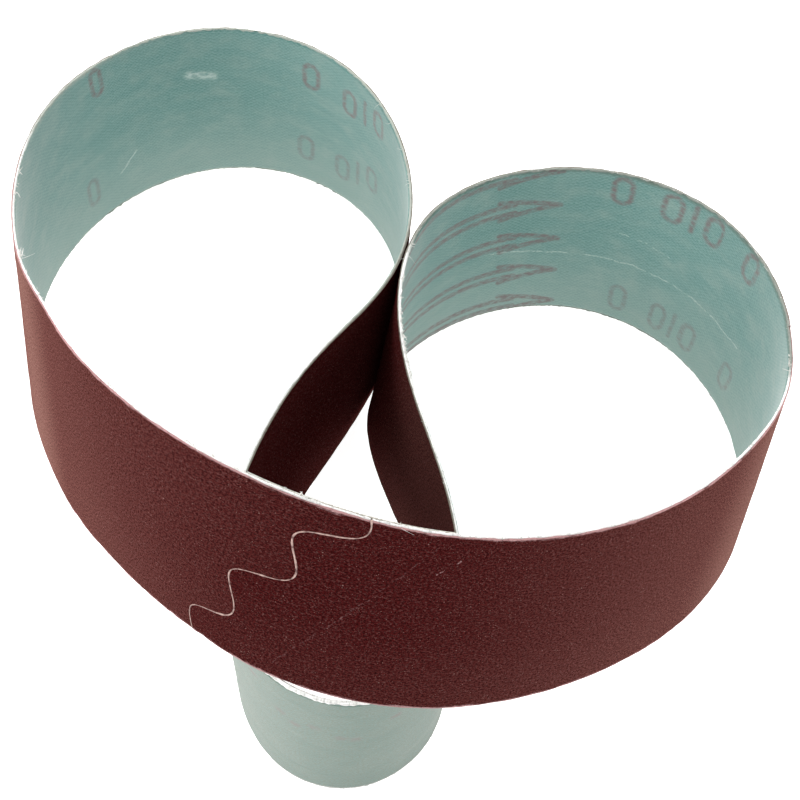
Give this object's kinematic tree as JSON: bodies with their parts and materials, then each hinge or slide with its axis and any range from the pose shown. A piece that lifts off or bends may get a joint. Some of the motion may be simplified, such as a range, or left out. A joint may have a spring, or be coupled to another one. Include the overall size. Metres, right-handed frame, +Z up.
{
  "type": "sanding belt",
  "caption": "Narrow cloth-backed abrasive belt with a wavy taped butt joint, standing on its edge and folded into wide and narrow loops, to be stretched over the rollers of a belt sander.",
  "frame": {"origin": "centre of the foot of the bounding box, on the surface that the belt's lower edge stands on", "axes": "+Z is up, across the standing belt and shortest extent of the whole; +Y runs from the front span back to the left loop, the longest extent; +X is to the right as seen from the front span"},
  "size_m": [0.1864, 0.1974, 0.113],
  "materials": {
    "abrasive_belt": "woven cloth, grey-green on the back and coated with dark maroon grain on the face",
    "joint_tape": "thin woven film tape, pressed flat into the back"
  },
  "bodies": {
    "root": {"abrasive_belt": "abrasive_belt", "joint_tape": "joint_tape"}
  },
  "joints": []
}
